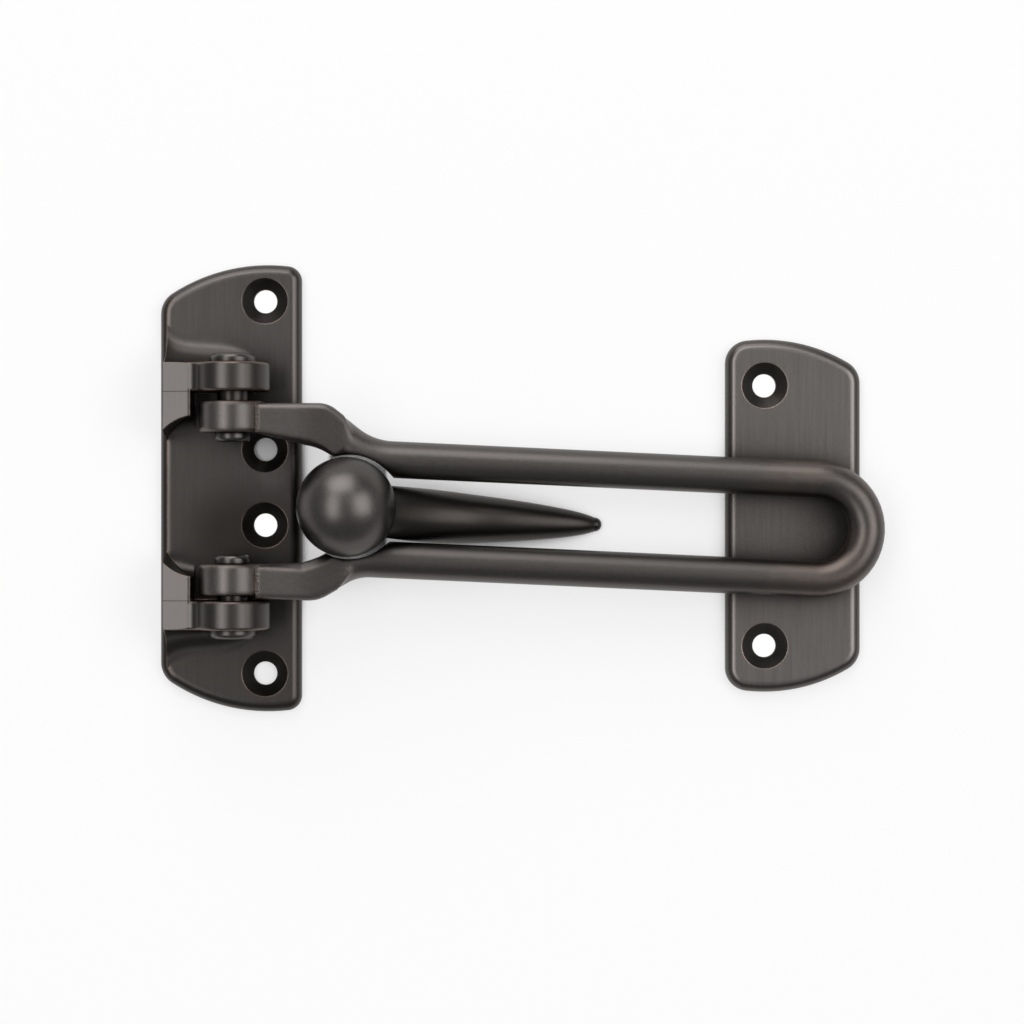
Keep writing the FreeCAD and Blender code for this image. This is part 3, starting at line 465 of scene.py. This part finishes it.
def screw_holes():
    """Each screw hole's place in millimetres, and how white its painted light makes the floor below."""
    for mount in frame["record"]["mounts"]:
        if mount["name"] in HOLE_PAINTED_LIGHT:
            x, y, z = (part / MM for part in mount["pos_m"])
            half_row = mount["dims"]["spacing_y_mm"] / 2
            upper, lower = HOLE_PAINTED_LIGHT[mount["name"]]
            yield (x, y + half_row, z), upper
            yield (x, y - half_row, z), lower


def white_floor():
    """Matt white paint that takes the guard's soft shadow and stays white to the eye out in the open."""
    surface = Surface("white_floor")
    white = surface.node("ShaderNodeEmission", Color=(1, 1, 1, 1), Strength=1.0)
    camera, gloss, glass = (surface.node("ShaderNodeLightPath", f"Is {ray} Ray")
                            for ray in ("Camera", "Glossy", "Transmission"))
    open_air = surface.open_air(FLOOR_HOLLOW)
    crack = crack_shade(surface, open_air)
    share = surface.step(open_air, *FLOOR_SHADOW) * (1 - crack)
    # Painted shadow: the floor's paint turns dark in the crack
    paint = surface.node("ShaderNodeBsdfDiffuse", Color=surface.blend(crack, FLOOR_PAINT, CRACK_SHADOW_PAINT))
    # Painted light on the floor under each screw hole
    for place, whiteness in screw_holes():
        spot = surface.below(surface.reach(place), *HOLE_EDGE)
        share = share * (1 - spot) + spot * whiteness
    share = share * (camera + gloss + glass) * FLOOR_WHITE
    surface.finish(surface.node("ShaderNodeMixShader", Fac=share, _1=paint, _2=white))
    return surface.material


def add_lamp(box, studio):
    """A rectangular lamp aimed at the middle of the view."""
    light = bpy.data.lights.new(box.name, "AREA")
    light.shape = "RECTANGLE"
    light.size = 2 * studio.lamp_distance * math.tan(math.radians(box.width / 2))
    light.size_y = 2 * studio.lamp_distance * math.tan(math.radians(box.height / 2))
    light.energy = box.brightness * math.pi * light.size * light.size_y
    lamp = bpy.data.objects.new(box.name, light)
    bpy.context.scene.collection.objects.link(lamp)
    turn, lean = math.radians(box.bearing), math.radians(box.lean)
    direction = Vector((math.cos(turn) * math.sin(lean), math.sin(turn) * math.sin(lean), math.cos(lean)))
    across = Vector((-math.sin(turn), math.cos(turn), 0))
    along = across.cross(direction)
    lamp.location = Vector((*studio.view_centre, 0)) + direction * studio.lamp_distance
    lamp.rotation_euler = Matrix((along, across, direction)).transposed().to_euler()


class DOORGUARD_OT_stage(bpy.types.Operator):
    """Adds the white floor, the lamps, the even light and the camera"""
    bl_idname = "doorguard.stage"
    bl_label = "Stage"

    def execute(self, context):
        scene = context.scene
        studio = scene.guard_studio
        bpy.ops.mesh.primitive_plane_add(size=FLOOR_SIZE, location=(0, 0, 0))
        floor = context.object
        floor.name = "floor"
        floor.data.materials.append(white_floor())
        for box in SOFTBOXES:
            add_lamp(box, studio)
        world = bpy.data.worlds.new("even_light")
        world.use_nodes = True
        world.node_tree.nodes["Background"].inputs["Color"].default_value = (1, 1, 1, 1)
        world.node_tree.nodes["Background"].inputs["Strength"].default_value = studio.light_level
        scene.world = world
        eye = bpy.data.cameras.new("camera")
        eye.sensor_fit = "HORIZONTAL"
        eye.angle = 2 * math.atan(studio.view_width / 2 / studio.camera_height)
        eye.clip_start = 10 * MM
        camera = bpy.data.objects.new("camera", eye)
        camera.location = (*studio.view_centre, studio.camera_height)
        scene.collection.objects.link(camera)
        scene.camera = camera
        scene.view_settings.view_transform = "Standard"
        return {"FINISHED"}


# Add-on


class DOORGUARD_PT_sidebar(bpy.types.Panel):
    """Lists the guard's finishes and its stage"""
    bl_idname = "DOORGUARD_PT_sidebar"
    bl_label = "Door Guard"
    bl_space_type = "VIEW_3D"
    bl_region_type = "UI"
    bl_category = "Door Guard"

    def draw(self, context):
        for operator in OPERATORS:
            self.layout.operator(operator.bl_idname)
        for group in (context.scene.guard_finish, context.scene.guard_studio):
            box = self.layout.box()
            for key in group.__annotations__:
                box.prop(group, key)


OPERATORS = (DOORGUARD_OT_bronze, DOORGUARD_OT_stage)
CLASSES = (GuardFinish, GuardStudio, *OPERATORS, DOORGUARD_PT_sidebar)


def register():
    for each in CLASSES:
        bpy.utils.register_class(each)
    bpy.types.Scene.guard_finish = bpy.props.PointerProperty(type=GuardFinish)
    bpy.types.Scene.guard_studio = bpy.props.PointerProperty(type=GuardStudio)


def unregister():
    del bpy.types.Scene.guard_studio
    del bpy.types.Scene.guard_finish
    for each in reversed(CLASSES):
        bpy.utils.unregister_class(each)


def main():
    """Dresses the guard and sets the stage."""
    register()
    bpy.ops.doorguard.bronze()
    bpy.ops.doorguard.stage()


if __name__ == "__main__":
    main()
